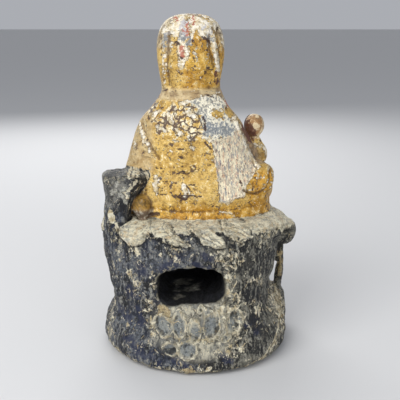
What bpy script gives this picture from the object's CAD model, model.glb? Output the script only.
# %% [markdown]
# # A carved and gilded guanyin on a rock plinth
#
# The real object is one block of wood. A seated figure in a long veil, with a child on one knee, sits on
# a rock that has a cave in its back. The figure was gilded over a white ground and the rock was painted
# blue-black. Much of that paint has cracked and flaked.
#
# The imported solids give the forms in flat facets. Here the same forms become smooth wood with a carver's
# small marks, and the paint is built up in layers, as the workshop did it.

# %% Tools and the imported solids
import math

import bmesh
import bpy
import numpy as np
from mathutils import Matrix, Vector, noise


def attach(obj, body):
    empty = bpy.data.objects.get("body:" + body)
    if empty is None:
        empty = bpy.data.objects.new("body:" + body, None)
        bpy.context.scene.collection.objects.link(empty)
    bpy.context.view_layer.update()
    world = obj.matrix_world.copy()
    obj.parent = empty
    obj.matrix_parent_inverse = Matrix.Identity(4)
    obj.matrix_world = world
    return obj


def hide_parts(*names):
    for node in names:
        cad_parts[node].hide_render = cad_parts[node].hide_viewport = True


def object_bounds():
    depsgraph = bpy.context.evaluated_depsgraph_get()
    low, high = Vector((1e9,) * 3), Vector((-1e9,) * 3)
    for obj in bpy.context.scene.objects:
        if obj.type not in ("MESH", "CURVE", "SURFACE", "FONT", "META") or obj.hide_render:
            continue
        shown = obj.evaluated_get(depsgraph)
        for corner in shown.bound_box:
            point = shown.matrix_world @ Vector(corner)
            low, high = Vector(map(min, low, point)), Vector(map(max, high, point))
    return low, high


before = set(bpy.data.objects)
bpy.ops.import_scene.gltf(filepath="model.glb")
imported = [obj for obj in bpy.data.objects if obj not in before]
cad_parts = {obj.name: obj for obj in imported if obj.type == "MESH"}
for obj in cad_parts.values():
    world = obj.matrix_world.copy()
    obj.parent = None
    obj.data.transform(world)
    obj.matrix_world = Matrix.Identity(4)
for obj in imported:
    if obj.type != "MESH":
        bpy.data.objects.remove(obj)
CARVING = "guanyin_figure_with_rock_plinth"
cad_low, cad_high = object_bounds()
print("solids from", tuple(cad_low), "to", tuple(cad_high))

# %% [markdown]
# ## The camera
#
# The photograph shows the carving's back from a little above, at the height of the crown. A camera could
# be aimed with a tracking constraint. Plain numbers are used instead: the place in metres, the tilt in
# degrees and the lens, because the same three numbers then say exactly what the photograph's view is.

# %% Camera
CAMERA_PLACE = (-0.0044, 0.701, 0.350)
CAMERA_TILT = 15.2  # degrees below level
CAMERA_LENS = 58.5  # on a 36 mm wide sensor

camera_data = bpy.data.cameras.new("camera")
camera_data.lens = CAMERA_LENS
camera_data.sensor_width = 36
camera = bpy.data.objects.new("camera", camera_data)
camera.location = CAMERA_PLACE
camera.rotation_euler = (math.radians(90 - CAMERA_TILT), 0, math.pi)
bpy.context.collection.objects.link(camera)
bpy.context.scene.camera = camera
print("camera", CAMERA_LENS, "mm")

# %% [markdown]
# ## Working in millimetres on whole meshes
#
# A carver's marks are small moves of the surface. Sculpting brushes make them by hand. A script can read
# all vertices of a mesh as one numpy table, move them by a formula and write them back, which is fast and
# gives the same result every time. Blender works in metres, so the helpers change to millimetres and back.

# %% Reading and writing vertices
MM = 0.001


def read_points(mesh):
    flat = np.empty(len(mesh.vertices) * 3, np.float32)
    mesh.vertices.foreach_get("co", flat)
    return flat.reshape(-1, 3).astype(float) / MM


def write_points(mesh, points):
    mesh.vertices.foreach_set("co", (points * MM).astype(np.float32).ravel())
    mesh.update()


def read_normals(mesh):
    flat = np.empty(len(mesh.vertices) * 3, np.float32)
    mesh.vertex_normals.foreach_get("vector", flat)
    return flat.reshape(-1, 3).astype(float)


def bell(distance, width):
    return np.exp(-((distance / width) ** 2))


def ease(t):
    t = np.clip(t, 0, 1)
    return t * t * (3 - 2 * t)


def profile(*stops):
    """A function of height through a few (height, value) stops"""
    heights, values = zip(*stops)
    return lambda z: np.interp(z, heights, values)


def rough(points, size, seed=0, octaves=3):
    """Fractal noise from -1 to 1 at each point. size is the width of its broadest lumps in millimetres."""
    stretched = points / np.array(size, float) + seed * 17.3
    return np.array([noise.fractal(p, 0.8, 2.1, octaves) for p in stretched.tolist()])


# %% [markdown]
# ## From facets to one smooth skin
#
# The solids are faceted, and the wood isn't. The copy's triangles are first paired into four-sided faces,
# because a subdivision surface rounds those more evenly. It rounds large facets widely and small ones
# narrowly, so robe and veil become smooth while fingers and folds keep their shape. A voxel remesh then
# gives even faces of about a millimetre everywhere, which the later carving and the paint need.

# %% Smooth copy of the solids
SKIN_GRAIN = 1.12  # width of one face of the final skin


def link(name, mesh):
    piece = bpy.data.objects.new(name, mesh)
    bpy.context.collection.objects.link(piece)
    return piece


def apply_modifiers(piece):
    bpy.context.view_layer.update()
    seen = piece.evaluated_get(bpy.context.evaluated_depsgraph_get())
    mesh = bpy.data.meshes.new_from_object(seen)
    piece.modifiers.clear()
    piece.data = mesh
    return mesh


def paired_copy(node, name):
    work = bmesh.new()
    work.from_mesh(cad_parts[node].data)
    bmesh.ops.remove_doubles(work, verts=work.verts, dist=1e-5)
    bmesh.ops.join_triangles(
        work, faces=work.faces, angle_face_threshold=0.6, angle_shape_threshold=0.7
    )
    mesh = bpy.data.meshes.new(name)
    work.to_mesh(mesh)
    work.free()
    return mesh


skin = link("skin", paired_copy(CARVING, "skin"))
rounding = skin.modifiers.new("rounding", "SUBSURF")
rounding.levels = 2
apply_modifiers(skin)
even = skin.modifiers.new("even", "REMESH")
even.mode = "VOXEL"
even.voxel_size = SKIN_GRAIN * MM
apply_modifiers(skin)
print("skin has", len(skin.data.polygons), "faces")

# %% [markdown]
# ## Evening out the skin
#
# Even spacing leaves tiny steps. A few rounds of averaging each vertex with its neighbours remove them.
# The Smooth modifier could do that, but a table of edges does the same in numpy, and the same averages
# later show where the surface bulges and where it is hollow, which decides where paint wears and dirt sits.

# %% Averages over neighbours
def edge_table(mesh):
    flat = np.empty(len(mesh.edges) * 2, np.int32)
    mesh.edges.foreach_get("vertices", flat)
    return flat.reshape(-1, 2)


def neighbour_mean(values, edges):
    """The mean of each vertex's neighbours, for values of one or three columns"""
    a, b = edges.T
    count = np.bincount(a, minlength=len(values)) + np.bincount(b, minlength=len(values))
    columns = values.reshape(len(values), -1).T
    sums = [
        np.bincount(a, column[b], len(values)) + np.bincount(b, column[a], len(values))
        for column in columns
    ]
    mean = np.stack(sums, 1) / np.maximum(count, 1)[:, None]
    return mean.reshape(values.shape)


def smooth(values, edges, rounds, share=0.5):
    for _ in range(rounds):
        values = values + share * (neighbour_mean(values, edges) - values)
    return values


edges = edge_table(skin.data)
points = smooth(read_points(skin.data), edges, rounds=3)
hem_share = bell(points[:, 2] - 154, 5) * ease((points[:, 1] + 10) / 12) * ease((46 - points[:, 0]) / 6)
points += hem_share[:, None] * (smooth(points, edges, rounds=40) - points)
write_points(skin.data, points)
print("smoothed", len(points), "vertices")

# %% [markdown]
# ## Which part of the block is which
#
# The carving is one piece, but the figure was gilded and the rock was painted dark. The border between
# them is where the robe meets the seat. Distances from the main forms tell the two apart. A positive
# number means figure, a negative one rock, and the stump at the elbow counts as rock.

# %% Figure or rock
stump_x = profile((120, 84), (140, 85), (158, 83), (173, 80), (184, 76), (200, 75))
stump_y = profile((130, 37), (190, 29))
stump_reach = profile((120, 7), (136, 14), (156, 15), (171, 17), (184, 22.5), (194, 27), (200, 25.5))


def beyond_stump(points):
    """Millimetres outside the stump's side, negative inside it"""
    x, y, z = points.T
    return np.hypot(x - stump_x(z), (y - stump_y(z)) / 0.88) - stump_reach(z)


def figure_side(points):
    """Millimetres inside the gilded figure, negative on the rock"""
    x, y, z = points.T
    behind = 1 - np.hypot((x - 1) / 87, y / 48)
    ahead = 1 - (np.abs(x / 94) ** 3 + np.abs(y / 100) ** 3) ** (1 / 3)
    inside = np.maximum(45 * np.where(y > 0, behind, ahead), z - 159)
    robe = np.minimum(z - np.where(y > -5, 150.6, 152.5), inside)
    gather = np.sqrt(((x - 57) / 12) ** 2 + ((y - 33) / 17) ** 2 + ((z - 161) / 14.5) ** 2)
    falls = [
        1 - np.sqrt(((x - at) / half) ** 2 + ((y + 84) / 14) ** 2 + ((z - low) / 24) ** 2)
        for at, low, half in ((0, 144, 17.5), (-18, 148, 13.5), (18, 148, 13.5))
    ]
    robe = np.maximum(robe, 12 * np.max(falls, axis=0) + 0.4)
    stump = np.where(z < 150, 9, np.where(z > 201.5, 9, beyond_stump(points) - 1.5))
    return np.maximum(np.minimum(robe, stump), 12 * (1 - gather))


side = figure_side(points)
print("figure share of the skin", round(float(np.mean(side > 0)), 2))

# %% [markdown]
# ## Marks that are placed by hand
#
# Folds, chips and patches of lost paint sit at definite places. Each is written as a stroke: a radius and
# the points it runs through, in millimetres across (x) and up (z), on the back or on the front. The same
# kind of stroke presses a groove into the wood or marks where paint is lost. The distance to a stroke is
# the distance to the nearest of its straight pieces. A closed area is a list of corners.

# %% Distance to strokes and areas
def beside_line(xz, line):
    """Distance from each point to a line through two or more stops"""
    stops = np.array(line, float)
    if len(stops) == 1:
        return np.hypot(*(xz - stops[0]).T)
    found = np.full(len(xz), 1e9)
    for start, end in zip(stops[:-1], stops[1:]):
        along = end - start
        t = np.clip((xz - start) @ along / (along @ along), 0, 1)
        found = np.minimum(found, np.hypot(*(xz - start - t[:, None] * along).T))
    return found


def inside_area(xz, corners):
    """Distance to the edge of a closed area, positive inside it"""
    corners = np.array(corners, float)
    closed = np.vstack([corners, corners[:1]])
    crossings = np.zeros(len(xz), int)
    for (x0, z0), (x1, z1) in zip(closed[:-1], closed[1:]):
        spans = (z0 > xz[:, 1]) != (z1 > xz[:, 1])
        at = x0 + (xz[:, 1] - z0) * (x1 - x0) / (z1 - z0 if z1 != z0 else 1e-9)
        crossings += spans & (xz[:, 0] < at)
    return np.where(crossings % 2 == 1, 1, -1) * beside_line(xz, closed)


def on_side(points, back):
    """True on the chosen half of the carving. The child on the right knee shows from the back too."""
    if back:
        return points[:, 1] > -6 - 22 * ease((-50 - points[:, 0]) / 4)
    return points[:, 1] < 6


def nearest_stroke(points, strokes, back=True):
    """How far inside the nearest stroke each point is, in millimetres. Far away it is -20."""
    xz = points[:, [0, 2]]
    found = np.full(len(points), -20.0)
    for radius, *line in strokes:
        found = np.maximum(found, radius - beside_line(xz, line))
    return np.where(on_side(points, back), np.maximum(found, -20), -20)


print("strokes ready")

# %% [markdown]
# ## Folds of the robe and the veil's ridges
#
# Gouge lines make the cloth read as cloth. Each fold is a shallow groove or a soft ridge, and a ridge beside
# a groove gives the rolled edge of the veil. They could be separate curves with a bevel, but pressing them
# into the skin keeps them part of the wood.

# %% Cloth folds
BACK_GROOVES = [  # depth, width, then the stops from the top down
    (1.6, 2.4, (57, 247), (52, 234), (45, 222), (39, 214)),
    (2.2, 1.4, (-80, 197), (-80, 187), (-76, 178), (-66, 173), (-56, 176), (-51, 179)),
    (0.8, 1.6, (-71, 196), (-68, 186), (-66, 178)),
    (0.9, 1.3, (-85, 186), (-83, 176), (-79, 170)),
    (1.0, 1.8, (-45, 246), (-50, 232), (-59, 211), (-66, 200)),
    (0.7, 1.6, (47, 161), (16, 158.5), (-26, 159), (-58, 160.5), (-80, 160)),
    (0.6, 2.0, (30, 262), (10, 265), (-12, 268), (-28, 276)),
    (2.0, 1.9, (28, 342), (29, 325), (30, 305), (28, 288)),
    (1.9, 1.4, (-14, 339), (-15, 324), (-19, 306)),
    (2.2, 1.6, (-23, 345), (-25, 325), (-27.5, 303), (-26, 290)),
    (0.9, 1.2, (35, 338), (35.5, 322), (36, 300)),
]
BACK_RIDGES = [
    (2.0, 1.5, (-41, 253), (-46, 240), (-57.5, 215), (-64, 204), (-68, 201)),
    (0.9, 1.6, (-77, 201), (-84, 190), (-80, 174)),
    (1.5, 1.7, (-18, 339), (-19.5, 323), (-23, 304)),
    (1.0, 2.2, (33, 345), (33, 325), (34, 303), (32, 290)),
    (0.9, 1.8, (24, 342), (24, 325), (25, 306)),
    (1.0, 2.0, (34, 281), (10, 283), (-12, 282.5), (-26, 279)),
    (0.8, 1.0, (-17, 229), (-20, 211), (-23, 196), (-25, 169), (-42, 172), (-52, 174)),
]
FRONT_GROOVES = [
    (1.3, 1.7, (26, 238), (17, 214), (3, 206), (-11, 214), (-20, 238)),
    (1.2, 1.7, (24, 222), (15, 200), (3, 193), (-9, 200), (-18, 222)),
    (1.1, 1.8, (30, 205), (16, 185), (3, 181), (-10, 185), (-24, 205)),
    (1.5, 2.0, (62, 245), (66, 220), (60, 196)),
    (1.3, 2.0, (54, 236), (57, 216), (50, 200)),
    (1.3, 2.0, (-54, 240), (-60, 222)),
    (1.4, 2.2, (86, 180), (62, 184), (40, 174), (22, 162)),
    (1.3, 2.0, (88, 170), (64, 174), (43, 164), (24, 153)),
    (1.2, 2.0, (84, 160), (62, 163), (45, 156)),
    (1.4, 2.2, (-86, 178), (-62, 182), (-40, 173), (-20, 161)),
    (1.3, 2.0, (-86, 168), (-62, 171), (-42, 162), (-24, 152)),
    (1.2, 1.6, (9, 168), (11, 150), (8, 132)), (1.2, 1.6, (-9, 168), (-11, 150), (-8, 132)),
]
FRONT_RIDGES = [  # a plain chain with a pendant
    (0.9, 1.0, (18, 262), (12, 250), (4, 245), (-4, 250), (-10, 262)),
    (1.3, 2.2, (4, 241.5)),
]


def pressed(points, normals, grooves, back, sign=-1):
    xz = points[:, [0, 2]]
    facing = ease((normals[:, 1] if back else -normals[:, 1]) * 1.6 + 0.35)
    move = np.zeros(len(points))
    for depth, width, *line in grooves:
        move += sign * depth * bell(beside_line(xz, line), width)
    return move * facing * on_side(points, back)


normals = read_normals(skin.data)
cloth = ease(side / 3)
folds = pressed(points, normals, BACK_GROOVES, back=True)
folds += pressed(points, normals, BACK_RIDGES, back=True, sign=1)
folds += pressed(points, normals, FRONT_GROOVES, back=False)
folds += pressed(points, normals, FRONT_RIDGES, back=False, sign=1)
points += normals * (folds * cloth)[:, None]
print("folds up to", round(float(np.abs(folds).max()), 1), "mm")

# %% [markdown]
# ## Hair
#
# Between the face and the veil's edge a band of hair is combed back. Its strands are parallel grooves that
# follow the round of the head. A particle system would make loose hair, but this is carved hair.

# %% Combed hair
HEAD_MIDDLE = np.array([5.5, -6, 316])
HAIR_HALF = np.array([25.3, 31.8, 32.8])


def hair_share(points):
    """1 on the band of hair, 0 elsewhere"""
    off = np.linalg.norm((points - HEAD_MIDDLE) / HAIR_HALF, axis=1)
    window = np.hypot((points[:, 0] - 5.5) / 19.5, (points[:, 2] - 301) / 34.5)
    band = ease((off - 0.93) / 0.04) * ease((1.045 - off) / 0.03)
    return band * ease((window - 0.98) / 0.04) * ease((-22 - points[:, 1]) / 3)


hair = hair_share(points)
strands = np.arctan2(points[:, 0] - 5.5, points[:, 2] - 306)
points += normals * (0.45 * hair * np.cos(strands * 62 + 0.05 * points[:, 1]))[:, None]
print("hair on", int(np.sum(hair > 0.5)), "vertices")

# %% [markdown]
# ## The rock: curls, leaves and rough cutting
#
# Below the cave the rock is cut into round curls with a raised rim and a dished middle. On the back a few
# broad leaves hang over the seat's edge, and round the front they become plain tongues. The rough cutting is
# fractal noise: lumps a thumb wide, upright flutes left by the gouge, and long shallow strokes on the seat.

# %% Rock relief
CURLS = [  # on the back: x, z, half width, half height
    (33.5, 48.5, 11, 10), (17, 51, 7.5, 13), (1.3, 46, 6.5, 12), (-16.3, 51, 9, 14), (-40, 52, 9, 12),
    (8.6, 27, 10.5, 9.5), (26, 27, 8, 8), (-31, 38, 5, 4.5), (-5, 66, 3.8, 3.4), (-12, 64, 3.5, 3),
]
FRONT_CURLS = [(angle, 27 - 8 * (i % 2), 18, 14) for i, angle in enumerate((-136, -113, -90, -67, -44))]
LEAVES = [  # closed areas on the back: x, z
    [(-50, 150), (-62, 149), (-92, 150), (-94, 143), (-84, 138), (-66, 140), (-58, 144)],
    [(82, 144), (66, 149), (48, 149), (46, 144), (57, 131), (70, 127), (79, 135)],
    [(47, 149), (31, 150), (20, 143), (9, 134), (18, 133), (30, 137), (45, 143)],
    [(6, 149), (-13, 148), (-28, 140), (-33, 131), (-21, 131), (-9, 136), (-1, 143)],
    [(-27, 149), (-41, 150), (-57, 145), (-56, 139), (-42, 138), (-31, 142)],
]
TONGUES = 17


def curl_edge(points):
    """Millimetres outside the rim of the nearest curl, negative inside it"""
    x, y, z = points.T
    found = np.full(len(points), 20.0)
    for at, height, half, high in CURLS:
        share = np.hypot((x - at) / half, (z - height) / high)
        found = np.where(y > 40, np.minimum(found, (share - 1) * min(half, high)), found)
    around = np.degrees(np.arctan2(y, x))
    reach = np.hypot(x, y)
    for angle, height, half, high in FRONT_CURLS:
        off = (around - angle + 180) % 360 - 180
        share = np.hypot(np.radians(off) * reach / half, (z - height) / high)
        found = np.where(reach > 70, np.minimum(found, (share - 1) * high), found)
    return found


def leaf_edge(points):
    """Millimetres inside the beige leaves and tongues of the seat's edge"""
    x, y, z = points.T
    found = np.full(len(points), -20.0)
    for corners in LEAVES:
        found = np.maximum(found, inside_area(points[:, [0, 2]], corners))
    around = np.degrees(np.arctan2(y, x))
    share = np.abs(((around * TONGUES / 360 + 0.3 * np.sin(np.radians(around * 5))) % 1) - 0.5) * 2
    tongues = z - 128 - 11 * share**2
    return np.where((y > 36) & (x < 96), found, np.clip(tongues, -20, 20))


x, y, z = points.T
rock = ease(-side / 2)
curl = curl_edge(points)
leaf = leaf_edge(points)
relief = 1.1 * bell(curl, 1.5) - 1.3 * ease(-curl / 5)
edge_band = ease((z - 122) / 4) * ease((151 - z) / 3) * (beyond_stump(points) > 0)
relief += edge_band * (1.5 * ease((leaf + 0.6) / 1.6) - 0.8 * bell(leaf + 1.5, 1.2))
on_top = ease((z - 145) / 3) * (beyond_stump(points) > 2) * (z < 156)
cut = 1.3 * rough(points, 15, seed=1, octaves=5) + 1.0 * rough(points, (9, 9, 34), seed=2, octaves=3)
relief += cut * np.where(z > 155, 0.8, 1.0) * (1 - 0.75 * on_top)
relief += 0.6 * rough(points, (26, 7, 4), seed=3) * on_top
relief *= ease(z / 4)
points += normals * (relief * rock)[:, None]
wood = 0.2 * rough(points, 9, seed=5) * (1 - rock)
points += normals * wood[:, None]
print("rock relief from", round(float(relief.min()), 1), "to", round(float(relief.max()), 1), "mm")

# %% [markdown]
# ## Bulges, hollows and the outer size
#
# Paint wears from what stands out, and dirt stays in what lies deep. The difference between a vertex and a
# smoothed copy of the surface, measured along the normal, tells the two apart. Blender's Pointiness would
# give it while rendering only, but a stored number also survives an export. Last, nothing may leave the
# box of the solids, so the points are held inside it.

# %% Hollows and limits
points = np.clip(points, np.array(cad_low) / MM, np.array(cad_high) / MM)
write_points(skin.data, points)
normals = read_normals(skin.data)
broad = smooth(points, edges, rounds=14)
bulge = smooth(np.einsum("ij,ij->i", points - broad, normals), edges, rounds=1)
print("bulge from", round(float(bulge.min()), 2), "to", round(float(bulge.max()), 2), "mm")

# %% [markdown]
# ## Where the paint is lost
#
# The gilding lies over a dark lacquer, and that over white ground on wood. Where the layers have flaked,
# one or more of them show. Each list below is one kind of loss, read off the carving in millimetres. The
# material later roughens their outlines with noise, so a few plain strokes are enough.

# %% Losses on the figure
CREAM = [  # white ground laid bare: radius, then stops
    (4.5, (29, 343), (20, 350), (20, 342)), (6, (1, 352), (-8, 348), (-9, 341)), (3, (-16, 350), (-11, 345)),
    (4, (-12, 341), (-15, 337)), (2.9, (-16.5, 338), (-19, 325)), (2.3, (-19, 325), (-22, 314), (-23, 303)),
    (1.4, (-24, 346), (-28, 336), (-30, 326)),
    (1.7, (27, 328), (23.5, 331)), (1.1, (26, 323)), (1.6, (31, 319), (31, 316)), (1.4, (31, 310), (30, 303)),
    (1.0, (2, 323), (-0.5, 318), (-1.5, 314)), (5.2, (14, 330), (13, 319)), (3.2, (13, 316), (15, 308)),
    (1.8, (8, 326), (9, 316)), (1.2, (4, 336), (2, 350)), (2.6, (9, 350), (14, 336)),
    (1.7, (16, 270), (4, 272), (-10, 276), (-22, 276), (-32, 268)), (2.2, (10, 262), (2, 258)),
    (2.4, (29, 258), (24, 252)), (1.8, (38, 262), (44, 257)), (2, (20, 244), (15, 240)),
    (1.6, (40, 247), (32, 243)),
    (3, (-40, 253), (-45, 242)), (1.9, (-46, 240), (-57, 216), (-64, 204), (-67, 202)),
    (1.5, (-8, 236), (-13, 234.5), (-18, 231)), (1.6, (5, 227), (2, 225)), (0.9, (23, 233), (19, 232)),
    (2.4, (12, 188), (13, 184)), (1.6, (12, 183), (10.5, 175)), (0.9, (8, 184), (7, 180)), (0.9, (9.5, 169)),
    (2, (43, 195), (41, 190)), (1.6, (37, 194), (41, 191)), (2.5, (43, 187), (42, 181)),
    (1.2, (41, 180), (41, 176)),
    (1.3, (60, 246), (57, 236), (50, 227), (48, 219)), (1.9, (56.5, 238), (55, 230)),
    (0.9, (66, 227), (65, 222)),
    (1.7, (-66, 219), (-73, 217)), (1.4, (-76, 216), (-80, 208), (-81, 204)),
    (1, (-25, 168.5), (-34, 167), (-42, 172), (-52, 174)),
    (0.8, (-52, 174), (-53, 184), (-64, 198), (-68, 202)),
    (0.8, (-26, 158), (-38, 156)), (0.7, (26, 223), (24, 222)),
]
DARK = [  # dark lacquer laid bare
    (1.2, (20, 332), (16, 329)), (1.0, (16.5, 318), (13, 315)),
    (1.1, (-9.5, 301), (-12.5, 306), (-16.5, 304)),
    (1.1, (17, 225), (13.5, 225)), (1.1, (16.5, 217), (13, 215.5)), (0.8, (14, 207)),
    (0.9, (16, 201), (11, 201.5)),
    (0.7, (13, 195)), (1, (26, 179), (20, 172)), (1.5, (21, 176), (12, 172), (8, 176)),
    (1, (16, 178), (15, 170)), (1, (9, 187), (6, 182)),
    (0.4, (40, 189), (28, 190.5), (13, 187), (1, 187.5)), (0.5, (40, 177), (29, 176), (8, 176.5), (-5, 175)),
    (0.7, (7, 231), (4, 228)), (0.4, (42, 204), (33, 203)), (0.35, (20, 199), (2, 200)),
    (1, (-9.5, 231), (-16, 225)),
    (0.8, (44, 192), (36, 193)), (1.2, (-8, 258), (-10, 244)), (0.9, (51, 256), (49, 253)),
    (0.9, (34, 281), (30, 283)),
    (2, (48, 154), (40, 155)), (0.5, (5, 338), (2, 332)), (1.3, (-7, 337), (-14, 332)),
    (0.6, (-60, 178), (-64, 184)),
    (0.7, (-46, 190), (-49, 184)), (0.5, (-20, 275), (-10, 279)),
]
ROSE = [  # traces of red and pink paint
    (1.0, (2.5, 357), (2, 350)), (1.7, (9, 349), (8, 342)), (1.3, (12, 343), (8, 339)),
    (1.1, (21, 356), (19, 353)),
    (1.9, (13.8, 327), (13.4, 318)), (1.2, (-31, 271), (-35, 265)), (0.9, (-34, 279), (-28, 281)),
]
MAROON = [(1.6, (-21, 299), (-23, 291)), (6, (-55, 241), (-61, 231)), (1.8, (-84, 199), (-86, 194))]
ASH = [  # grey-blue stain on the bare ground
    (4, (13, 350), (12, 336)), (2.6, (6, 334), (8, 330)), (5.5, (-13, 243), (-21, 244), (-34, 242)),
    (2.6, (-10, 257), (-12, 248)), (2.4, (-7, 346)), (2, (-14, 340), (-15, 333)), (3, (30, 339), (32, 331)),
]
BARE = [(-16, 233), (-17, 226), (-20, 211), (-23, 196), (-25, 169), (-34, 167), (-42, 172), (-51, 173),
        (-53, 183), (-64, 198), (-67, 202), (-58, 214), (-46, 239), (-40, 253), (-36, 246), (-30, 236)]
GREY_LOSS = [
    (8, 271), (-6, 276), (-24, 276), (-38, 266), (-44, 252), (-40, 236), (-26, 234), (-9, 236), (-8, 250),
    (-3, 262),
]
OCHRE_ISLANDS = [(3.6, (-21, 260), (-27, 257)), (4.6, (-33, 263), (-41, 254))]
CRACKED = [
    (49, 263), (28, 267), (13, 270), (-5, 263), (-11, 256), (-9, 242), (1, 236), (14, 236), (29, 239),
    (44, 248),
]
OLD_GREY = [(5, (30, 350), (38, 330)), (4, (-18, 352), (-30, 330)), (3, (28, 334), (28, 322))]


def store(mesh, name, values, offset=0):
    """A number for every vertex, which the material reads by name. Signed distances are stored plus 20."""
    layer = mesh.attributes.new(name, "FLOAT", "POINT")
    layer.data.foreach_set("value", (values + offset).astype(np.float32))


def area_on_back(points, corners):
    return np.where(on_side(points, True), inside_area(points[:, [0, 2]], corners), -20).clip(-20, 20)


x, y, z = points.T
bare_patch = area_on_back(points, BARE)
grey_loss = np.minimum(area_on_back(points, GREY_LOSS), -nearest_stroke(points, OCHRE_ISLANDS))
for name, values in (
    ("cream", nearest_stroke(points, CREAM)),
    ("dark", nearest_stroke(points, DARK)),
    ("rose", nearest_stroke(points, ROSE)),
    ("maroon", nearest_stroke(points, MAROON)),
    ("ash", nearest_stroke(points, ASH)),
    ("bare", bare_patch),
    ("grey", grey_loss),
    ("cracked", area_on_back(points, CRACKED)),
):
    store(skin.data, name, values, offset=20)
store(skin.data, "bulge", bulge)
store(skin.data, "hair", hair)
store(skin.data, "crown", ease((z - 334) / 14))
collar = ease((z - 270) / 5) * ease((287 - z) / 5) * ease((y + 6) / 10)
right_arm = ease((-46 - x) / 4) * ease((z - 202) / 5) * ease((262 - z) / 10) * ease((y + 20) / 10)
left_arm = ease((x - 40) / 10) * ease((z - 190) / 16) * ease((272 - z) / 16)
olive = np.maximum(ease((nearest_stroke(points, OLD_GREY) + 2) / 4), collar + right_arm + 0.75 * left_arm)
store(skin.data, "dust", np.clip(olive, 0, 1))
store(skin.data, "tan", right_arm)
hem_gold = ease((168 - z) / 8)
sleeve_gold = ease((-54 - x) / 5) * ease((200 - z) / 6) * (y > -10)
veil_gold = 0.8 * (z > 286) * ease((20 - x) / 14)
rich = hem_gold + sleeve_gold + veil_gold
store(skin.data, "rich", np.clip(rich, 0, 1))
child = 1 - ease((np.linalg.norm((points - (-65, -27, 239)) / (15, 17, 16), axis=1) - 0.95) / 0.1)
store(skin.data, "child", child)
gathered = ease((1.25 - np.linalg.norm((points - (57, 33, 161)) / (11, 15, 14.5), axis=1)) / 0.25)
store(skin.data, "gathered", gathered)
store(skin.data, "knob", gathered * ease((162 - z) / 5))
print("losses stored on", len(points), "vertices")

# %% [markdown]
# ## Where the rock is light
#
# The seat is beige, the rock below it blue-black with cream chips, and the curls have cream rims. Again
# each is a number per vertex. The cave is marked too, because its inside was left nearly black.

# %% Marks on the rock
CHIPS = [  # clusters of cream chips: radius, then stops
    (5, (63, 131), (63, 123)), (4, (28, 129), (19, 118)), (7, (-24, 125), (-41, 119), (-33, 112)),
    (4, (-31, 105), (-33, 91)),
    (6, (-36, 96), (-38, 80), (-44, 67)), (4, (-35, 144), (-47, 135)),
    (7, (-62, 145), (-85, 142), (-69, 131)),
    (4, (-59, 95), (-70, 83)), (4, (-60, 69), (-66, 55)), (8, (-27, 66), (-46, 52), (-31, 30), (-46, 30)),
    (3, (46, 90), (37, 75)), (4, (68, 98), (60, 88)), (4, (61, 76), (48, 69)), (5, (90, 6), (45, 4)),
    (4, (34, 6), (10, 4)),
    (4, (6, 6), (-15, 4)), (4, (-56, 5), (-68, 7)), (5, (-75, 7), (-92, 24)), (9, (-85, 54), (-98, 30)),
    (3, (92, 50), (96, 20)),
    (4, (50, 60), (46, 30)), (3, (84, 130), (80, 108)), (3, (-20, 36), (-4, 36), (14, 40)),
]
BLUE = [
    (6, (56, 104), (48, 97)), (5, (73, 79), (63, 72)), (5, (81, 53), (70, 44)), (6, (70, 27), (57, 17)),
    (5, (46, 19), (38, 6)), (5, (2, 114), (-12, 108)), (4, (-10, 123), (-18, 119)), (5, (1, 67), (-17, 72)),
    (4.4, (69, 193), (67, 185)), (4, (-28, 21), (-34, 17)), (5, (-58, 48), (-67, 40)),
    (5, (86, 152), (84, 145)),
    (6, (20, 118), (34, 108)), (4, (60, 60), (56, 44)), (4, (20, 16), (8, 12)),
]
PALE = [
    (3, (74, 183), (71, 176)), (2.6, (78, 178), (74, 170)), (5, (20, 66), (-22, 66)),
    (3, (80, 190), (86, 180)),
]
WHITE = [  # crisp strokes of bare ground on the rock
    (1.4, (70, 202), (69, 196)), (1.4, (66, 203), (65, 198)), (1.5, (63, 201), (60, 198)),
    (1.6, (74, 180), (71, 174)),
    (3.2, (90, 158), (88, 150)), (1.1, (96, 202), (80, 204), (60, 204), (52, 202)),
    (1.0, (56, 203), (51, 197), (50, 189)),
    (1.4, (62, 193), (65, 187), (70, 182)), (1.2, (-84, 22), (-90, 30), (-94, 40)),
    (1.2, (-88, 47), (-95, 36)),
    (1.5, (-70, 6), (-78, 16)), (1.4, (-80, 11), (-86, 20)), (1.1, (-92, 52), (-99, 42)),
    (1.6, (84, 146), (81, 138)),
    (0.9, (33, 148), (17, 141), (6, 135)), (0.9, (8, 148), (-10, 143), (-26, 134)),
    (1, (-27, 149), (-46, 144), (-58, 138)),
    (1.2, (46, 90), (40, 92), (36, 96)), (1, (10, 103), (-14, 102)),
]
BLACK = [
    (6, (60, 192), (52, 188)), (5, (62, 186), (68, 176)), (7, (76, 168), (70, 158)),
    (5, (72, 150), (70, 158)),
    (6, (-99, 140), (-98, 128)), (6, (-98, 110), (-98, 64)), (5, (-59, 51), (-72, 34)),
    (4, (0, 16), (-15, 12)),
    (5, (-52, 113), (-63, 114)), (3, (46, 146), (38, 140)), (3, (31, 138), (16, 131)),
    (3, (-36, 142), (-50, 136)),
    (4, (50, 90), (40, 98), (0, 104), (-30, 98)),
]
OCHRE = [(5, (36, 64), (28, 57)), (3, (-92, 50), (-96, 36)), (2, (-98, 92), (-98, 66)), (3, (12, 8), (2, 6))]

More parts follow.
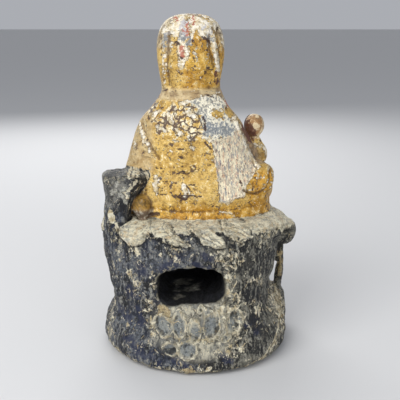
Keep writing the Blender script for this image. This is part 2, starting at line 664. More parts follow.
cave = 1 - (np.abs((x - 5) / 36) ** 4 + np.abs((z - 86) / 21) ** 4)
cave = np.minimum(cave * 12, 82 - y) * (y > -30)
seat_top = np.minimum(z - 144.5, 8) * (z < 158)
ledge = np.where(beyond_stump(points) > 1, np.clip(np.maximum(seat_top, leaf), -20, 20), -20)
ledge = np.where(x < -91, np.clip(z - 131, -20, 20), ledge)
for name, values in (
    ("chips", nearest_stroke(points, CHIPS)),
    ("blue", nearest_stroke(points, BLUE)),
    ("pale", nearest_stroke(points, PALE)),
    ("white", nearest_stroke(points, WHITE)),
    ("black", nearest_stroke(points, BLACK)),
    ("ochre", nearest_stroke(points, OCHRE)),
    ("ledge", ledge),
    ("cave", np.clip(cave, -20, 20)),
    ("curl", np.clip(curl, -20, 20)),
):
    store(skin.data, name, values, offset=20)
store(skin.data, "stump", ease((z - 158) / 10) * (beyond_stump(points) < 6))
store(skin.data, "cool", ease((x + 30) / 50))
apron = 1 - np.hypot((x - 2) / 52, (z - 46) / 34)
store(skin.data, "apron", ease(apron * 3) * (y > 50))
print("rock marks stored")

# %% [markdown]
# ## Three skins from one
#
# Gilding and rock paint are two finishes, and no piece should have too many faces. So the skin is cut
# along the border into the figure, the upper rock and the lower rock. The cut runs between faces and the
# pieces keep touching, so no seam shows.

# %% Cutting the skin
def part_of(mesh, keep, name):
    corners = np.empty(len(mesh.polygons) * 4, np.int32)
    mesh.polygons.foreach_get("vertices", corners)
    faces = corners.reshape(-1, 4)[keep]
    used, renumbered = np.unique(faces, return_inverse=True)
    part = bpy.data.meshes.new(name)
    coordinates = read_points(mesh)[used] * MM
    part.from_pydata(coordinates.tolist(), [], renumbered.reshape(-1, 4).tolist())
    for layer in mesh.attributes:
        if layer.data_type == "FLOAT" and layer.domain == "POINT":
            values = np.empty(len(mesh.vertices), np.float32)
            layer.data.foreach_get("value", values)
            store(part, layer.name, values[used])
    part.shade_smooth()
    return link(name, part)


CUT_Z = 72  # upper rock above this height, which shares the faces out evenly
corners = np.empty(len(skin.data.polygons) * 4, np.int32)
skin.data.polygons.foreach_get("vertices", corners)
face_side = figure_side(points)[corners.reshape(-1, 4)].mean(1)
face_height = points[corners.reshape(-1, 4), 2].mean(1)
figure = part_of(skin.data, face_side > 0, "figure")
upper_rock = part_of(skin.data, (face_side <= 0) & (face_height > CUT_Z), "upper_rock")
lower_rock = part_of(skin.data, (face_side <= 0) & (face_height <= CUT_Z), "lower_rock")
bpy.data.objects.remove(skin)
for piece in (figure, upper_rock, lower_rock):
    print(piece.name, len(piece.data.polygons) * 2, "triangles")

# %% [markdown]
# ## The two faces
#
# Lids and lips are finer than the skin's grain, so each face is a shell of its own, a little proud of the
# carved one. Its rim sinks under the hair. The face follows no real one: the eyes lie half way up the
# head, the nose ends half way from brow to chin, and the lids are lowered. A sculptor would draw the same
# few forms. Here each form is a soft bump or dent, and thin curved lines cut the lids, brows and mouth.

# %% Faces
FORMS = [  # x, z, half width, half height, how far out
    (9, 4.5, 6.5, 4.5, -3.2), (9.5, 1.6, 4.6, 2.6, 3.1), (9, 10, 8, 2.4, 1.6), (0, 1, 2.6, 7.5, 4),
    (0, -6, 3, 2.8, 4.6),
    (3.4, -7.4, 1.7, 1.7, 1.7), (1.5, -9.6, 1.1, 0.9, -0.9), (0, -10.9, 1, 1.5, -0.5),
    (2.2, -12.6, 3.4, 1.2, 1.9),
    (0, -13.2, 1.2, 0.9, -0.5), (0, -16, 4, 1.5, 2.1), (0, -18.8, 3.6, 1.3, -0.8), (0, -23, 6.5, 3.6, 2.2),
    (6.6, -14.2, 1, 1.2, -0.8), (13, -9, 7, 8, 1.7), (0, 14, 1.3, 1.3, 0.8),
]
FACE_LINES = [  # depth, width, then the stops, on each half
    (-0.75, 0.5, (4.6, 1.2), (7, -0.4), (10, -0.8), (13, 0.2), (15.5, 2.2)),
    (-0.5, 0.5, (4.6, 3.0), (7.5, 4.4), (10.5, 4.6), (14, 3.4)),
    (0.6, 0.7, (2.6, 7.5), (6, 11), (10.5, 12), (16, 9)),
    (-0.9, 0.45, (0, -14.4), (2, -14.1), (4, -14.5), (6.4, -13.8)),
]
LID, _, BROW, MOUTH = (line[2:] for line in FACE_LINES)


def carved_face(name, middle, half, depth, high, turn, proud):
    """A shell over the front of an egg-shaped head. Sizes in millimetres, turn in degrees"""
    rows, columns = 150, 130
    across, up = np.meshgrid(np.linspace(-1, 1, columns), np.linspace(-1, 1, rows))
    angle, lift = across.ravel() * 1.28, np.clip(up.ravel() * 1.1, -1.1, 1.1)
    level = np.cos(lift)
    fine = 31 / high
    flat = np.stack([half * level * np.sin(angle), high * np.sin(lift)], 1) * fine
    mirrored = np.abs(flat[:, 0])
    facing = ease(1.6 * np.cos(angle))
    out = np.full(len(flat), proud * fine)
    for x_at, z_at, wide, tall, far in FORMS:
        out += facing * far * bell(mirrored - x_at, wide) * bell(flat[:, 1] - z_at, tall)
    folded = np.stack([mirrored, flat[:, 1]], 1)
    for far, wide, *line in FACE_LINES:
        out += facing * far * bell(beside_line(folded, line), wide)
    border = 1 - np.maximum(np.abs(across), np.abs(up)).ravel()
    out -= 3.5 * fine * (1 - ease(border / 0.14))
    jaw = 1 - 0.16 * ease((-flat[:, 1] - 6) / 24)
    shell = np.stack(
        [flat[:, 0] / fine * jaw, -depth * level * np.cos(angle) - out / fine, high * np.sin(lift)], 1
    )
    sine, cosine = math.sin(math.radians(turn)), math.cos(math.radians(turn))
    shell = shell @ np.array([[cosine, sine, 0], [-sine, cosine, 0], [0, 0, 1]]) + middle
    index = np.arange(rows * columns).reshape(rows, columns)
    faces = np.stack([index[:-1, :-1], index[:-1, 1:], index[1:, 1:], index[1:, :-1]], -1).reshape(-1, 4)
    mesh = bpy.data.meshes.new(name)
    mesh.from_pydata((shell * MM).tolist(), [], faces.tolist())
    mesh.shade_smooth()
    lids = np.maximum(0.55 - beside_line(folded, LID), 0.3 - beside_line(folded, MOUTH))
    brows = 0.35 - beside_line(folded, BROW)
    lips = 1 - np.hypot(flat[:, 0] / 6.2, (flat[:, 1] + 14.6) / 3.2)
    store(mesh, "ink", np.clip(np.maximum(lids, brows) / fine, -3, 3), offset=20)
    store(mesh, "lips", np.clip(lips * 3, -3, 3), offset=20)
    for mark in ("cream", "dark", "rose", "maroon", "ash", "bare", "grey", "cracked"):
        store(mesh, mark, np.zeros(len(flat)))
    store(mesh, "bulge", np.clip(out / fine * 0.1, -0.2, 0.3))
    return link(name, mesh)


face = carved_face("face", HEAD_MIDDLE, 23.5, 30, 31, 0, 0.5)
child_face = carved_face("child_face", np.array([-65, -27, 239]), 12, 13, 13.6, -14, 0.35)
print("faces with", len(face.data.polygons) * 2, "triangles each")

# %% [markdown]
# ## Fingers
#
# The hands lie on the knee and round the child. Each finger is a short tapering tube, bent over the back of
# the hand and half sunk in it, so it reads as carved from the same block.

# %% Hands
def tube(stops, radii, sides=14, rings=26):
    """Points and faces of a round bar through the stops, closed and rounded at both ends"""
    stops, radii = np.array(stops, float), np.array(radii, float)
    along = np.linspace(0, len(stops) - 1, rings)
    path = np.stack([np.interp(along, range(len(stops)), c) for c in stops.T], 1)
    path[1:-1] = (path[:-2] + 2 * path[1:-1] + path[2:]) / 4
    radius = np.interp(along, range(len(stops)), radii)
    ends = np.minimum(np.arange(rings), np.arange(rings)[::-1]) / 4
    radius = radius * np.sqrt(1 - (1 - np.clip(ends, 0, 1)) ** 2) + 0.02
    heading = np.gradient(path, axis=0)
    heading /= np.linalg.norm(heading, axis=1)[:, None]
    sideways = np.cross(heading, (0, 0.05, 1))
    sideways /= np.linalg.norm(sideways, axis=1)[:, None]
    upward = np.cross(sideways, heading)
    turns = np.linspace(0, math.tau, sides, endpoint=False)
    rim = np.cos(turns)[None, :, None] * sideways[:, None] + np.sin(turns)[None, :, None] * upward[:, None]
    points = (path[:, None] + radius[:, None, None] * rim).reshape(-1, 3)
    index = np.arange(rings * sides).reshape(rings, sides)
    shifted = np.roll(index, -1, 1)
    faces = np.stack([index[:-1], shifted[:-1], shifted[1:], index[1:]], -1).reshape(-1, 4)
    return points, faces


FINGERS = [(-8, 14.2, 2.3), (-2.8, 16.4, 2.6), (2.6, 16.8, 2.6), (7.6, 14.6, 2.4)]  # across, reach, radius


def hand(name, middle, heading, thumb_side):
    """Four fingers and a thumb over a flat hand that points down the slope of the knee"""
    tilt, turned = math.radians(16), math.radians(heading)
    lean = np.array([[1, 0, 0], [0, math.cos(tilt), -math.sin(tilt)], [0, math.sin(tilt), math.cos(tilt)]])
    spin = np.array(
        [[math.cos(turned), -math.sin(turned), 0], [math.sin(turned), math.cos(turned), 0], [0, 0, 1]]
    )
    bars = [
        tube([(x * 0.8, 2, 2.2), (x, -7, 3.4), (x * 1.05, -reach + 3, 1.6), (x * 1.05, -reach - 0.8, -2.4)],
             [r, r, r * 0.92, r * 0.75])
        for x, reach, r in FINGERS
    ]
    bars.append(
        tube(
            [(thumb_side * 8, 6, 1), (thumb_side * 12, -1, 1), (thumb_side * 11.5, -8, -0.4)], [2.8, 2.7, 2.0]
        )
    )
    points, faces, count = [], [], 0
    for bar_points, bar_faces in bars:
        points.append(bar_points)
        faces.append(bar_faces + count)
        count += len(bar_points)
    points = np.concatenate(points) @ (spin @ lean).T + middle
    mesh = bpy.data.meshes.new(name)
    mesh.from_pydata((points * MM).tolist(), [], np.concatenate(faces).tolist())
    mesh.shade_smooth()
    store(mesh, "rich", np.full(len(points), 0.4))
    return link(name, mesh)


left_hand = hand("left_hand", np.array([37, -71, 186]), -36, 1)
right_hand = hand("right_hand", np.array([-48, -66, 195]), 22, -1)
print("hands with", len(left_hand.data.polygons) * 2, "triangles each")

# %% [markdown]
# ## A writer of materials
#
# A material is a net of small nodes. Written one by one they take pages. A small class that adds a node and
# gives back its output lets each finish read as a recipe: noise of a size in millimetres, a mark by its
# name, a step, a mix.

# %% Recipe class
def colour(red, green, blue):
    """A colour as seen on screen, in the linear numbers that the renderer uses"""
    return tuple(((c + 0.055) / 1.055) ** 2.4 if c > 0.04 else c / 12.92 for c in (red, green, blue)) + (1.0,)


class Recipe:
    def __init__(self, name):
        self.material = bpy.data.materials.new(name)
        self.material.use_nodes = True
        self.tree = self.material.node_tree
        self.shader = self.tree.nodes["Principled BSDF"]
        place = self.tree.nodes.new("ShaderNodeTexCoord").outputs["Object"]
        self.place = self.node(
            "ShaderNodeVectorMath", "Vector", operation="SCALE", Vector=place, Scale=1 / MM
        )

    def node(self, kind, output, operation=None, settings=(), **inputs):
        made = self.tree.nodes.new(kind)
        if operation:
            made.operation = operation
        for key, value in settings:
            setattr(made, key, value)
        for key, value in inputs.items():
            self.put(made.inputs[key], value)
        return made.outputs[output]

    def put(self, socket, value):
        if isinstance(value, bpy.types.NodeSocket):
            self.tree.links.new(value, socket)
        else:
            socket.default_value = value

    def math(self, operation, first, second=0.0):
        made = self.tree.nodes.new("ShaderNodeMath")
        made.operation = operation
        self.put(made.inputs[0], first)
        self.put(made.inputs[1], second)
        return made.outputs[0]

    def total(self, *parts):
        """The sum of several values, each a value or a (value, share) pair"""
        result = None
        for part in parts:
            value = self.math("MULTIPLY", *part) if isinstance(part, tuple) else part
            result = value if result is None else self.math("ADD", result, value)
        return result

    def times(self, *shares):
        result = shares[0]
        for share in shares[1:]:
            result = self.math("MULTIPLY", result, share)
        return result

    def most(self, *values):
        result = values[0]
        for value in values[1:]:
            result = self.math("MAXIMUM", result, value)
        return result

    def scaled(self, size, seed):
        share = size if hasattr(size, "__len__") else (size,) * 3
        made = self.tree.nodes.new("ShaderNodeVectorMath")
        made.operation = "MULTIPLY_ADD"
        self.put(made.inputs[0], self.place)
        made.inputs[1].default_value = tuple(1 / s for s in share)
        made.inputs[2].default_value = (seed * 7.1, seed * 3.7, seed * 5.3)
        return made.outputs[0]

    def noise(self, size, detail=3, rough=0.55, seed=0, bend=0):
        """Fractal noise round zero, mostly between -1 and 1. Size is in millimetres."""
        return self.node("ShaderNodeTexNoise", "Fac", settings=[("normalize", False)],
                         Vector=self.scaled(size, seed), Scale=1.0, Detail=detail,
                         Roughness=rough, Distortion=bend)

    def cells(self, size, output, feature="F1", seed=0, bend=0.25):
        """Voronoi cells whose walls wander"""
        vector = self.scaled(size, seed)
        wander = self.node("ShaderNodeTexNoise", "Color", Vector=vector, Scale=1.6, Detail=4)
        moved = self.tree.nodes.new("ShaderNodeVectorMath")
        moved.operation = "MULTIPLY_ADD"
        self.put(moved.inputs[0], wander)
        moved.inputs[1].default_value = (bend,) * 3
        self.put(moved.inputs[2], vector)
        return self.node("ShaderNodeTexVoronoi", output, settings=[("feature", feature)],
                         Vector=moved.outputs[0], Scale=1.0)

    def mark(self, name):
        return self.node("ShaderNodeAttribute", "Fac", settings=[("attribute_name", name)])

    def distance(self, name):
        """Millimetres inside a mark, negative outside it"""
        return self.math("SUBTRACT", self.mark(name), 20.0)

    def ragged(self, value, size=3.0, depth=2.5, seed=0, detail=6):
        """A distance whose outline noise has made ragged"""
        return self.total(value, (self.noise(size, detail=detail, rough=0.62, seed=seed), depth))

    def step(self, value, at=0.0, soft=0.3):
        """0 below, 1 above. A negative softness turns it round."""
        return self.node("ShaderNodeMapRange", "Result", Value=value,
                         **{"From Min": at - soft / 2, "From Max": at + soft / 2})

    def band(self, value, low, high, soft=0.3):
        return self.times(self.step(value, low, soft), self.step(value, high, -soft))

    def mix(self, share, first, second):
        made = self.tree.nodes.new("ShaderNodeMix")
        made.data_type = "RGBA"
        self.put(made.inputs["Factor"], share)
        self.put(made.inputs[6], first)
        self.put(made.inputs[7], second)
        return made.outputs[2]

    def layer(self, base, share, over, strength=1.0):
        """Lays a colour over the base where share is 1"""
        return self.mix(share if strength == 1 else self.math("MULTIPLY", share, strength), base, over)

    def finish(self, base, roughness, height, metal=0.0, depth=0.6):
        bumps = self.node("ShaderNodeBump", "Normal", Height=height, Distance=depth * MM, Strength=1.0)
        self.put(self.shader.inputs["Base Color"], base)
        self.put(self.shader.inputs["Roughness"], roughness)
        self.put(self.shader.inputs["Metallic"], metal)
        self.put(self.shader.inputs["Normal"], bumps)
        return self.material


print("recipe class ready")

# %% [markdown]
# ## Worn gilding
#
# The gold is leaf and lacquer over white ground. It has level cracks, dark specks, and chips whose edge
# shows a dark line of lacquer before the cream ground. The recipe starts with the gold itself, mottled at
# several sizes because old leaf is never even.

# %% Gold and its mottling
g = Recipe("worn_gilding")
tone = g.noise(30, detail=3, seed=1)
gold = g.mix(g.step(tone, 0, 1.2), colour(0.76, 0.60, 0.26), colour(0.86, 0.72, 0.40))
rich = g.mix(g.step(tone, 0, 1.0), colour(0.74, 0.53, 0.10), colour(0.86, 0.67, 0.24))
gold = g.mix(g.mark("rich"), gold, rich)
mottle = g.noise(6.5, detail=7, rough=0.72, seed=2)
gold = g.layer(gold, g.step(mottle, 0.40, 0.7), colour(0.92, 0.82, 0.56), 0.5)
gold = g.layer(gold, g.step(mottle, -0.40, -0.7), colour(0.50, 0.35, 0.13), 0.5)
patch = g.noise(15, detail=2, seed=3)
fleck = g.noise(1.7, detail=3, rough=0.6, seed=4)
gold = g.layer(gold, g.step(g.total(fleck, (patch, 0.5)), 0.56, 0.14), colour(0.30, 0.19, 0.10), 0.8)
pale_fleck = g.total(g.noise(2.2, detail=3, rough=0.65, seed=5), (mottle, 0.5))
gold = g.layer(gold, g.step(g.total(pale_fleck, (patch, -0.5)), 0.72, 0.14), colour(0.95, 0.89, 0.72), 0.8)
dusty = g.mix(
    g.step(g.noise(8, detail=4, seed=6), 0, 0.8), colour(0.64, 0.55, 0.42), colour(0.82, 0.75, 0.60)
)
gold = g.layer(gold, g.mark("dust"), dusty, 0.8)
gold = g.layer(
    gold,
    g.mark("tan"),
    g.mix(g.step(mottle, 0, 0.8), colour(0.42, 0.31, 0.20), colour(0.68, 0.55, 0.40)),
    0.75,
)
level = g.noise((14, 14, 1.9), detail=5, rough=0.6, seed=7)
level_cracks = g.times(g.band(level, -0.028, 0.028, 0.03), g.step(g.noise(16, seed=8), 0.0, 0.2))
gold = g.layer(gold, level_cracks, colour(0.33, 0.21, 0.11), 0.75)

# %% [markdown]
# Between the shoulders the lacquer has shrunk into islands about seven millimetres wide. Voronoi cells give
# such islands. Their gaps change in width and some cells are whole, so it doesn't look like a tiled floor.

# %% Shrunken lacquer between the shoulders
cell_walls = g.cells(7.4, "Distance", feature="DISTANCE_TO_EDGE", seed=9, bend=0.75)
wall = g.total(cell_walls, (g.noise(3, detail=4, seed=10), 0.10))
tint = g.node("ShaderNodeSeparateColor", "Red", Color=g.cells(7.4, "Color", seed=9, bend=0.75))
in_cracked = g.ragged(g.distance("cracked"), size=12, depth=13, seed=11)
spread = g.step(in_cracked, 1.0, 6)
island = g.step(g.total(tint, (g.noise(4.5, detail=5, seed=12), 0.9)), 0.50, 0.12)
ring = g.times(g.band(wall, 0.09, 0.21, 0.06), g.step(g.noise(8, detail=3, seed=13), -0.05, 0.2))
whitened = g.times(g.most(island, ring), g.step(spread, 0.25, 0.2))
gap = g.times(
    g.step(wall, 0.105, -0.05), g.step(g.total(spread, (g.noise(9, detail=3, seed=14), 0.9)), 0.42, 0.25)
)
base = g.layer(
    gold, whitened, g.mix(g.step(mottle, 0, 0.5), colour(0.82, 0.73, 0.54), colour(0.95, 0.91, 0.79))
)
base = g.layer(base, gap, colour(0.30, 0.22, 0.20), 0.9)

# %% [markdown]
# White ground shows wherever a stroke marks it, on the crown, and on edges that hands have touched. One
# number, the millimetres inside a loss, is built from all three. Its ragged zero line becomes the edge of
# the flake, and a dark rim of lacquer is drawn just outside.

# %% White ground laid bare
white = g.mix(
    g.step(g.noise(4, detail=5, seed=15), 0, 0.7), colour(0.82, 0.75, 0.60), colour(0.96, 0.93, 0.86)
)
crack_walls = g.cells(3.6, "Distance", feature="DISTANCE_TO_EDGE", seed=16, bend=0.6)
hair_crack = g.times(g.step(crack_walls, 0.035, -0.03), g.step(g.noise(9, seed=17), 0.05, 0.2))
white = g.layer(white, hair_crack, colour(0.36, 0.30, 0.24), 0.8)
crown = g.ragged(
    g.math("MULTIPLY", g.total(g.mark("crown"), -0.86), 11.0), size=9, depth=8, seed=18, detail=7
)
edge_wear = g.math("MINIMUM", g.math("MULTIPLY", g.total(g.mark("bulge"), -0.42), 10.0), 0.5)
edge_wear = g.ragged(edge_wear, size=3.5, depth=4, seed=19)
strays = g.ragged(g.math("SUBTRACT", g.math("MULTIPLY", patch, 3.0), 4.6), size=3.2, depth=5.5, seed=20)
lost = g.most(g.ragged(g.distance("cream"), size=3.2, depth=1.9, seed=21), crown, edge_wear, strays)
remnant = g.times(g.mark("crown"), g.step(g.noise(6, detail=4, seed=22), -0.1, 0.4))
base = g.layer(base, remnant, colour(0.50, 0.45, 0.34), 0.8)
lacquer_rim = g.times(g.band(lost, -0.75, 0.05, 0.3), g.step(g.noise(5, detail=3, seed=23), -0.05, 0.2))
base = g.layer(base, lacquer_rim, colour(0.30, 0.22, 0.17), 0.85)
base = g.layer(base, g.step(lost, 0, 0.3), white)

# %% [markdown]
# A long panel on the right of the back has lost all its gold. Upright streaks of several paints remain in
# the grain, so three noises stretched upwards are laid over each other.

# %% The bare panel
streak = g.noise((1.9, 1.9, 9), detail=6, rough=0.75, seed=24)
raw = g.mix(g.step(streak, -0.05, 0.3), colour(0.78, 0.73, 0.64), colour(0.97, 0.92, 0.79))
raw = g.layer(
    raw,
    g.step(g.noise((2.6, 2.6, 11), detail=6, rough=0.72, seed=25), 0.30, 0.12),
    colour(0.56, 0.57, 0.58),
    0.85,
)
raw = g.layer(
    raw,
    g.step(g.noise((2.4, 2.4, 8), detail=5, rough=0.7, seed=26), 0.36, 0.12),
    colour(0.88, 0.70, 0.56),
    0.6,
)
raw = g.layer(
    raw,
    g.step(g.noise((1.5, 1.5, 5), detail=4, rough=0.7, seed=27), 0.50, 0.1),
    colour(0.33, 0.26, 0.27),
    0.8,
)
in_bare = g.ragged(g.distance("bare"), size=5, depth=1.6, seed=28)
base = g.layer(base, g.step(in_bare, 0, 0.4), raw)
base = g.layer(
    base,
    g.times(g.band(in_bare, -0.7, 0.0, 0.3), g.step(g.noise(6, seed=29), 0, 0.2)),
    colour(0.40, 0.31, 0.22),
    0.8,
)
base = g.layer(
    base,
    g.times(
        g.step(g.ragged(g.distance("cream"), size=3, depth=1.2, seed=30), 0.3, 0.3), g.step(in_bare, 0, 0.4)
    ),
    white,
)

in_grey = g.ragged(g.distance("grey"), size=6, depth=4, seed=31)
ashen = g.mix(
    g.step(g.noise(3.6, detail=7, rough=0.74, seed=32), -0.16, 0.4),
    colour(0.58, 0.58, 0.56),
    colour(0.95, 0.92, 0.83),
)
base = g.layer(base, g.step(in_grey, 0, 0.5), ashen)

# %% [markdown]
# Small touches come last: grey-blue stain, traces of red, dark lacquer, the child's painted head, the black
# hair, lids and lips, and dirt in the hollows.

# %% Stains, red, lacquer and dirt
in_ash = g.ragged(g.distance("ash"), size=4, depth=5, seed=33)
ash = g.mix(g.mark("crown"), colour(0.46, 0.49, 0.52), colour(0.76, 0.75, 0.77))
ash = g.layer(
    ash, g.step(g.noise(2.6, detail=5, rough=0.7, seed=41), 0.30, 0.15), colour(0.88, 0.86, 0.80), 0.85
)
base = g.layer(base, g.step(in_ash, 0.3, 1.2), ash, 0.85)
base = g.layer(
    base,
    g.step(g.ragged(g.distance("rose"), size=2.5, depth=2.4, seed=34), 0.1, 0.7),
    colour(0.68, 0.36, 0.28),
    0.85,
)
child_tone = g.mix(
    g.step(g.noise(6, detail=5, seed=35), 0, 0.5), colour(0.66, 0.50, 0.33), colour(0.92, 0.84, 0.68)
)
base = g.layer(base, g.mark("child"), child_tone, 0.9)
base = g.layer(
    base,
    g.step(g.ragged(g.distance("maroon"), size=5, depth=4, seed=36), 0, 1.0),
    colour(0.36, 0.17, 0.13),
    0.9,
)
knob_tone = g.mix(
    g.step(g.noise(4, detail=5, seed=37), 0.1, 0.3), colour(0.42, 0.37, 0.34), colour(0.78, 0.76, 0.70)
)
base = g.layer(
    base,
    g.mark("gathered"),
    g.mix(g.step(mottle, 0, 0.6), colour(0.36, 0.27, 0.11), colour(0.62, 0.47, 0.20)),
    0.8,
)
base = g.layer(base, g.mark("knob"), knob_tone, 0.85)
in_dark = g.ragged(g.distance("dark"), size=2.6, depth=1.5, seed=38)
base = g.layer(base, g.step(in_dark, 0, 0.4), colour(0.25, 0.16, 0.15), 0.92)
hair_share_left = g.times(g.mark("hair"), g.step(g.noise(7, detail=5, seed=39), -0.25, 0.3))
base = g.layer(base, hair_share_left, colour(0.15, 0.15, 0.18), 0.9)
base = g.layer(base, g.step(g.distance("lips"), 0, 0.4), colour(0.62, 0.28, 0.22), 0.5)
base = g.layer(
    base,
    g.step(g.ragged(g.distance("ink"), size=1.5, depth=0.3, seed=40), 0, 0.15),
    colour(0.16, 0.12, 0.10),
    0.8,
)
dirt = g.step(g.total(g.mark("bulge"), (mottle, 0.2)), -0.24, -0.25)
base = g.layer(base, dirt, colour(0.34, 0.23, 0.11), 0.65)

raised = g.most(g.step(lost, 0.2, 0.6), g.step(in_bare, 0.2, 0.6), g.step(in_grey, 0.2, 0.6))
height = g.total(
    (mottle, 0.28),
    (fleck, 0.20),
    (raised, -0.7),
    (gap, -0.9),
    (level_cracks, -0.5),
    (g.step(in_dark, 0, 0.4), -0.5),
)
shine = g.mix(raised, (0.44,) * 3 + (1,), (0.86,) * 3 + (1,))
shine = g.layer(shine, g.step(mottle, 0.2, 0.6), (0.62,) * 3 + (1,), 0.6)
metal = g.math("MULTIPLY", g.math("SUBTRACT", 1.0, raised), 0.16)
worn_gilding = g.finish(base, shine, height, metal=metal)
print(worn_gilding.name, len(g.tree.nodes), "nodes")

# %% [markdown]
# ## Rock paint
#
# The rock was brushed blue-black over the same white ground. The brush ran up and down, so the noise that
# sets dark against slate is stretched upwards. Blue survives in patches and one half is warmer in tone.

# %% Brushed blue-black
r = Recipe("rock_paint")
broad_tone = r.noise(24, detail=6, rough=0.6, seed=50)
brush = r.noise((4.5, 4.5, 15), detail=6, rough=0.72, seed=51)
fine = r.noise(2.8, detail=5, rough=0.75, seed=52)
blend = r.total((broad_tone, 0.6), (brush, 0.55), (fine, 0.35))
cool = r.mark("cool")
mid = r.mix(cool, colour(0.47, 0.46, 0.41), colour(0.42, 0.44, 0.47))
slate = r.mix(r.step(blend, 0.08, 0.5), colour(0.085, 0.09, 0.105), mid)
slate = r.layer(slate, r.step(r.total(brush, (fine, 0.5)), 0.42, 0.3), colour(0.66, 0.65, 0.60), 0.7)
slate = r.layer(slate, r.step(fine, -0.42, -0.2), colour(0.06, 0.06, 0.07), 0.8)
stain = r.times(cool, r.step(r.noise(11, detail=5, rough=0.65, seed=53), 0.12, 0.35))
slate = r.layer(slate, stain, colour(0.16, 0.19, 0.27), 0.5)
in_blue = r.ragged(r.distance("blue"), size=6, depth=6, seed=54)
slate = r.layer(slate, r.step(in_blue, 0.8, 3), colour(0.15, 0.18, 0.30), 0.65)
in_black = r.ragged(r.distance("black"), size=5, depth=4.5, seed=55)
slate = r.layer(slate, r.step(in_black, 0, 2), colour(0.07, 0.07, 0.08), 0.8)
stump_tone = r.mix(
    r.step(r.total(broad_tone, (fine, 0.4)), 0, 0.7), colour(0.27, 0.27, 0.26), colour(0.62, 0.61, 0.57)
)
slate = r.layer(slate, r.times(r.mark("stump"), r.step(in_black, 0, -3)), stump_tone, 0.75)
print("base coat ready")

# %% [markdown]
# The beige seat is streaked along its length. Its leaves hang over the dark rock, with a dark line under
# each edge. The apron below the cave is greyer, and the curls on it have a thin broken cream rim.

# %% Seat, leaves, apron and curls
cream = r.mix(
    r.step(r.noise(5, detail=4, seed=56), -0.1, 0.8), colour(0.80, 0.73, 0.57), colour(0.98, 0.95, 0.85)
)
along = r.noise((20, 14, 2.4), detail=6, rough=0.7, seed=57, bend=0.6)
beige = r.mix(r.step(along, -0.15, 0.6), colour(0.82, 0.78, 0.67), colour(0.98, 0.95, 0.84))
beige = r.layer(
    beige,
    r.step(r.noise((16, 12, 3), detail=6, rough=0.7, seed=58), 0.30, 0.2),
    colour(0.64, 0.65, 0.63),
    0.6,
)
beige = r.layer(beige, r.step(r.noise(7, detail=5, seed=59), 0.38, 0.2), colour(0.80, 0.66, 0.42), 0.5)
beige = r.layer(beige, r.step(fine, 0.42, 0.2), cream, 0.7)
beige = r.layer(beige, r.step(fine, -0.55, -0.15), colour(0.45, 0.42, 0.37), 0.7)
in_ledge = r.ragged(r.distance("ledge"), size=6, depth=3.0, seed=60)
base = r.layer(slate, r.band(in_ledge, -2.4, 0, 0.6), colour(0.08, 0.08, 0.10), 0.75)
base = r.layer(base, r.step(in_ledge, 0, 0.6), beige)
in_pale = r.ragged(r.distance("pale"), size=5, depth=3.5, seed=61)
base = r.layer(
    base,
    r.step(in_pale, 0, 1),
    r.mix(r.step(fine, 0, 0.6), colour(0.60, 0.59, 0.54), colour(0.82, 0.81, 0.76)),
    0.85,
)
apron_tone = r.mix(
    r.step(r.total(broad_tone, brush), 0, 0.8), colour(0.58, 0.58, 0.55), colour(0.90, 0.87, 0.77)
)
base = r.layer(base, r.mark("apron"), apron_tone, 0.8)
in_ochre = r.ragged(r.distance("ochre"), size=5, depth=4, seed=62)
ochre = r.mix(r.step(fine, 0, 0.6), colour(0.70, 0.58, 0.38), colour(0.90, 0.82, 0.62))
base = r.layer(base, r.step(in_ochre, 0, 1.5), ochre, 0.7)
from_curl = r.ragged(r.distance("curl"), size=4, depth=1.3, seed=63)
base = r.layer(
    base,
    r.step(from_curl, -2.5, -2),
    r.mix(r.step(fine, 0, 0.7), colour(0.36, 0.40, 0.43), colour(0.56, 0.59, 0.60)),
    0.75,
)
base = r.layer(
    base, r.times(r.band(from_curl, 0.7, 2.0, 0.4), r.step(brush, -0.1, 0.3)), colour(0.14, 0.13, 0.12), 0.7
)
rim = r.times(r.band(from_curl, -1.1, 0.6, 0.4), r.step(r.noise(6, detail=4, seed=64), -0.22, 0.15))
base = r.layer(base, rim, cream, 0.9)

# %% [markdown]
# Cream chips come over everything. Far from a cluster few show, inside one nearly half the paint is gone.
# A second noise, used near its zero line, links them with lace-like lines as flaking paint does.

# %% Chips, dirt and the cave
cluster = r.step(r.ragged(r.distance("chips"), size=9, depth=5, seed=65), 0.5, 7)
field = r.noise((5.5, 5.5, 7.5), detail=8, rough=0.72, seed=66, bend=1.0)
in_chip = r.total(field, (cluster, 0.62), -0.70)
lace = r.noise((8, 8, 10), detail=7, rough=0.66, seed=67, bend=0.8)
lace = r.times(r.band(lace, -0.05, 0.05, 0.04), r.step(r.total(cluster, (fine, 0.4)), 0.55, 0.2))
not_seat = r.math("SUBTRACT", 1.0, r.math("MULTIPLY", r.step(in_ledge, 0, 0.6), 0.7))
chip = r.times(r.most(r.step(in_chip, 0, 0.07), lace), not_seat)
chip_shadow = r.times(r.band(in_chip, -0.12, 0, 0.05), not_seat, 0.6)
base = r.layer(base, chip_shadow, colour(0.08, 0.08, 0.09))
base = r.layer(base, chip, cream)
whites = r.ragged(r.distance("white"), size=3.5, depth=1.6, seed=70)
base = r.layer(base, r.band(whites, -1.0, 0, 0.4), colour(0.08, 0.08, 0.09), 0.6)
base = r.layer(base, r.step(whites, 0, 0.4), cream, 0.95)
worn = r.ragged(
    r.math("MINIMUM", r.math("MULTIPLY", r.total(r.mark("bulge"), -0.5), 6.0), 0.3), size=3, depth=3, seed=68
)
base = r.layer(base, r.step(worn, 0, 0.5), colour(0.62, 0.59, 0.50), 0.75)
dirt = r.step(r.total(r.mark("bulge"), (fine, 0.3)), -0.40, -0.4)
base = r.layer(base, dirt, colour(0.07, 0.07, 0.07), 0.75)
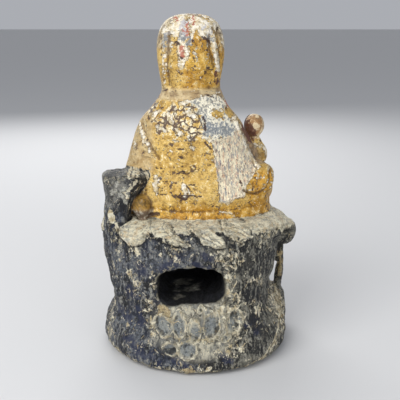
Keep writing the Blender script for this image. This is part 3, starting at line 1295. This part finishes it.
dim = r.mix(
    r.step(r.noise((30, 30, 2.5), detail=5, seed=69), 0.1, 0.4),
    colour(0.045, 0.045, 0.055),
    colour(0.12, 0.125, 0.15),
)
base = r.layer(base, r.step(r.distance("cave"), 1.0, 3), dim)

height = r.total((fine, 0.55), (brush, 0.7), (chip, 0.45), (rim, 0.4), (broad_tone, 0.6))
shine = r.mix(chip, (0.60,) * 3 + (1,), (0.88,) * 3 + (1,))
rock_paint = r.finish(base, shine, height, depth=0.9)
print(rock_paint.name, len(r.tree.nodes), "nodes")

for piece in (figure, face, child_face, left_hand, right_hand):
    piece.data.materials.append(worn_gilding)
for piece in (upper_rock, lower_rock):
    piece.data.materials.append(rock_paint)

# %% [markdown]
# ## Every piece stands for the carving
#
# The pieces take the place of the faceted solid, which stays hidden underneath for the physics. All of them
# ride on the one body that the record has.

# %% Riding on the body
for piece in (figure, face, child_face, left_hand, right_hand, upper_rock, lower_rock):
    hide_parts(CARVING)
    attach(piece, "root")
print("pieces ride on root")

# %% [markdown]
# ## Floor and light
#
# A plain pale floor and wide soft lamps show the paint without hard shadows. The main lamp is high on the
# viewer's left, as the light on the carving is, with a weaker one on the right and a bright surrounding.

# %% Studio
def lamp(name, place, aim, size, power):
    data = bpy.data.lights.new(name, "AREA")
    data.size = size
    data.energy = power
    made = bpy.data.objects.new(name, data)
    made.location = place
    made.rotation_euler = (Vector(aim) - Vector(place)).to_track_quat("-Z", "Y").to_euler()
    bpy.context.collection.objects.link(made)
    return made


lamp("key", (0.9, 1.1, 1.2), (0, 0, 0.18), 1.2, 24)
lamp("fill", (-0.6, 1.4, 0.45), (0, 0, 0.18), 1.4, 9)
lamp("rear", (0.3, -1.3, 1.1), (0, 0, 0.2), 1.3, 16)

world = bpy.data.worlds.new("studio")
world.use_nodes = True
world.node_tree.nodes["Background"].inputs["Color"].default_value = (0.90, 0.93, 1.0, 1)
world.node_tree.nodes["Background"].inputs["Strength"].default_value = 0.45
bpy.context.scene.world = world
bpy.context.scene.view_settings.view_transform = "Standard"

FLOOR = 40.0
floor_mesh = bpy.data.meshes.new("floor")
floor_corners = [(-FLOOR, -FLOOR, 0), (FLOOR, -FLOOR, 0), (FLOOR, FLOOR, 0), (-FLOOR, FLOOR, 0)]
floor_mesh.from_pydata(floor_corners, [], [(0, 1, 2, 3)])
floor = link("floor", floor_mesh)
floor_paint = bpy.data.materials.new("floor_paint")
floor_paint.use_nodes = True
floor_shader = floor_paint.node_tree.nodes["Principled BSDF"]
floor_shader.inputs["Base Color"].default_value = (0.62, 0.62, 0.62, 1)
floor_shader.inputs["Roughness"].default_value = 0.9
floor.data.materials.append(floor_paint)
print("studio ready")
